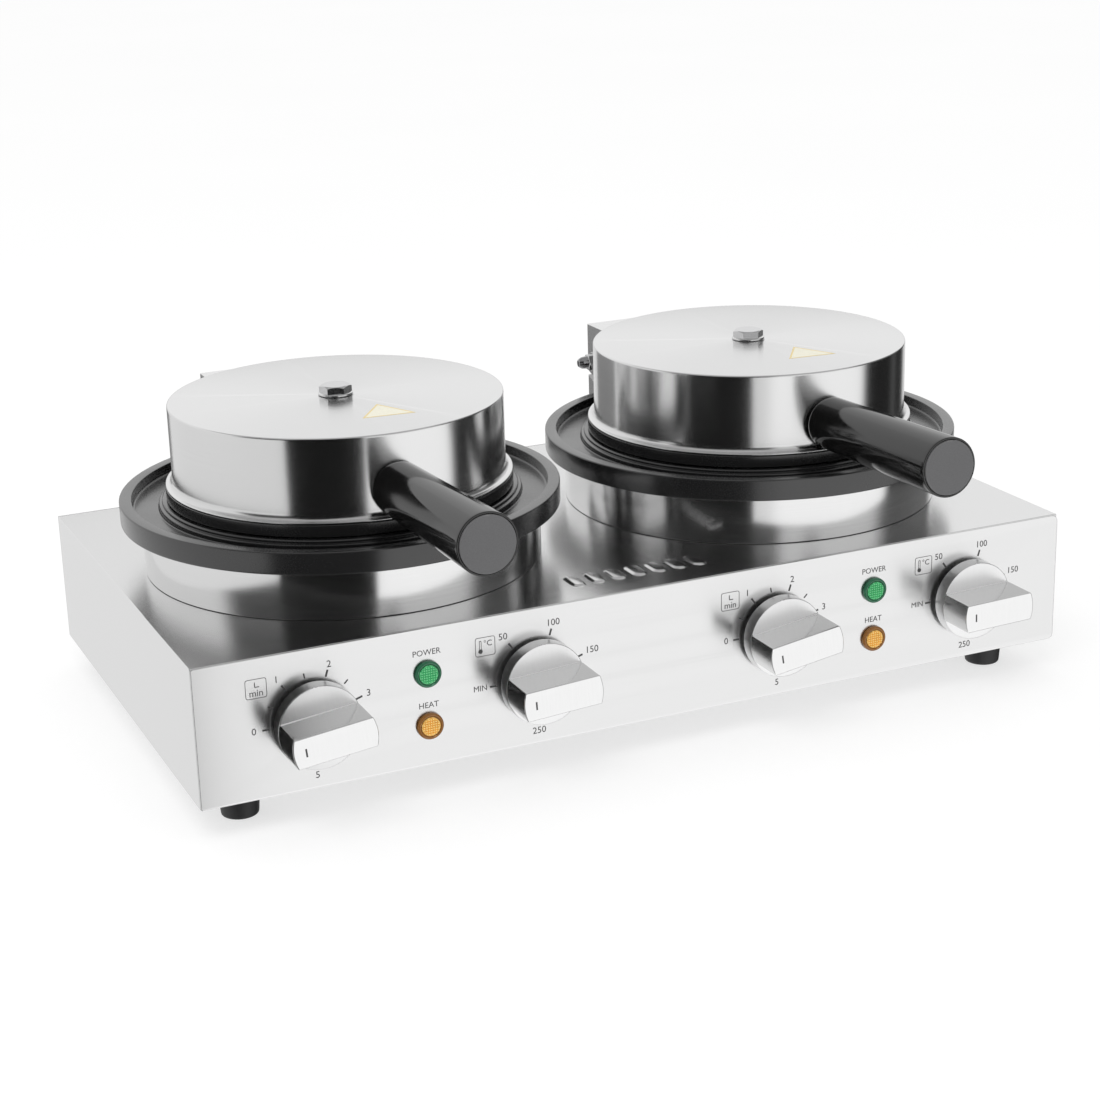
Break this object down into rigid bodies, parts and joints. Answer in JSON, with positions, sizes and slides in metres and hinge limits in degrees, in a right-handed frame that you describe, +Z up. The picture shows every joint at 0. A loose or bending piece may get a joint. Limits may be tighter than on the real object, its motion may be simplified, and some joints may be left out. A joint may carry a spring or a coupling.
{
  "type": "waffle cone maker",
  "caption": "Countertop waffle cone maker: round hinged irons with overflow trays and straight front handles on a shared stainless housing with timer and thermostat knobs.",
  "frame": {"origin": "centre of the whole object's bounding box in X and Y, on the surface that the feet stand on", "axes": "+X to the operator's right along the long side, +Y to the rear, +Z up"},
  "size_m": [0.55, 0.4044, 0.2053],
  "materials": {
    "brushed_steel": "brushed stainless steel",
    "polished_steel": "polished stainless steel",
    "plain_steel": "plain steel",
    "nonstick_black": "black non-stick coating on cast aluminium, satin",
    "black_bakelite": "glossy black phenolic",
    "cap_grey": "satin dark grey",
    "satin_chrome": "satin chrome",
    "rubber": "black rubber",
    "heater_tube": "heat-darkened steel tube",
    "copper": "copper",
    "white_ceramic": "unglazed white ceramic",
    "white_plastic": "white plastic",
    "black_plastic": "black plastic",
    "green_lens": "translucent green plastic",
    "amber_lens": "translucent amber plastic"
  },
  "bodies": {
    "base": {"casing": "brushed_steel", "front_panel": "brushed_steel", "rear_panel": "brushed_steel", "base_plate": "plain_steel", "foot_front_left": "rubber", "foot_front_right": "rubber", "foot_rear_left": "rubber", "foot_rear_right": "rubber", "cable_gland": "black_plastic", "terminal_block": "white_ceramic", "drum_left": "polished_steel", "lower_plate_left": "nonstick_black", "lower_element_left": "heater_tube", "insulation_pad_left": "white_ceramic", "thermostat_bulb_left": "copper", "hinge_bracket_left": "brushed_steel", "timer_left": "white_plastic", "thermostat_left": "white_plastic", "power_lamp_left": "green_lens", "heat_lamp_left": "amber_lens", "drum_right": "polished_steel", "lower_plate_right": "nonstick_black", "lower_element_right": "heater_tube", "insulation_pad_right": "white_ceramic", "thermostat_bulb_right": "copper", "hinge_bracket_right": "brushed_steel", "timer_right": "white_plastic", "thermostat_right": "white_plastic", "power_lamp_right": "green_lens", "heat_lamp_right": "amber_lens"},
    "lid_left": {"lid_shell_left": "brushed_steel", "upper_plate_left": "nonstick_black", "upper_element_left": "heater_tube", "lid_bolt_left": "polished_steel", "handle_left": "black_bakelite", "handle_cap_left": "cap_grey", "handle_stud_left": "plain_steel", "hinge_box_left": "brushed_steel", "hinge_bolt_left": "polished_steel", "hinge_nut_left": "polished_steel"},
    "lid_right": {"lid_shell_right": "brushed_steel", "upper_plate_right": "nonstick_black", "upper_element_right": "heater_tube", "lid_bolt_right": "polished_steel", "handle_right": "black_bakelite", "handle_cap_right": "cap_grey", "handle_stud_right": "plain_steel", "hinge_box_right": "brushed_steel", "hinge_bolt_right": "polished_steel", "hinge_nut_right": "polished_steel"},
    "timer_dial_left": {"timer_knob_left": "satin_chrome", "timer_shaft_left": "plain_steel"},
    "thermostat_dial_left": {"thermostat_knob_left": "satin_chrome", "thermostat_shaft_left": "plain_steel"},
    "timer_dial_right": {"timer_knob_right": "satin_chrome", "timer_shaft_right": "plain_steel"},
    "thermostat_dial_right": {"thermostat_knob_right": "satin_chrome", "thermostat_shaft_right": "plain_steel"}
  },
  "joints": [
    {"name": "lid_hinge_left", "type": "hinge", "parent": "base", "child": "lid_left", "pos_m": [-0.138, 0.1774, 0.157], "axis": [-1, 0, 0], "range_deg": [0, 100]},
    {"name": "lid_hinge_right", "type": "hinge", "parent": "base", "child": "lid_right", "pos_m": [0.138, 0.1774, 0.157], "axis": [-1, 0, 0], "range_deg": [0, 100]},
    {"name": "timer_turn_left", "type": "hinge", "parent": "base", "child": "timer_dial_left", "pos_m": [-0.209, -0.1188, 0.0595], "axis": [0, 1, 0], "range_deg": [0, 270]},
    {"name": "thermostat_turn_left", "type": "hinge", "parent": "base", "child": "thermostat_dial_left", "pos_m": [-0.077, -0.1188, 0.0595], "axis": [0, 1, 0], "range_deg": [0, 270]},
    {"name": "timer_turn_right", "type": "hinge", "parent": "base", "child": "timer_dial_right", "pos_m": [0.077, -0.1188, 0.0595], "axis": [0, 1, 0], "range_deg": [0, 270]},
    {"name": "thermostat_turn_right", "type": "hinge", "parent": "base", "child": "thermostat_dial_right", "pos_m": [0.209, -0.1188, 0.0595], "axis": [0, 1, 0], "range_deg": [0, 270]}
  ]
}
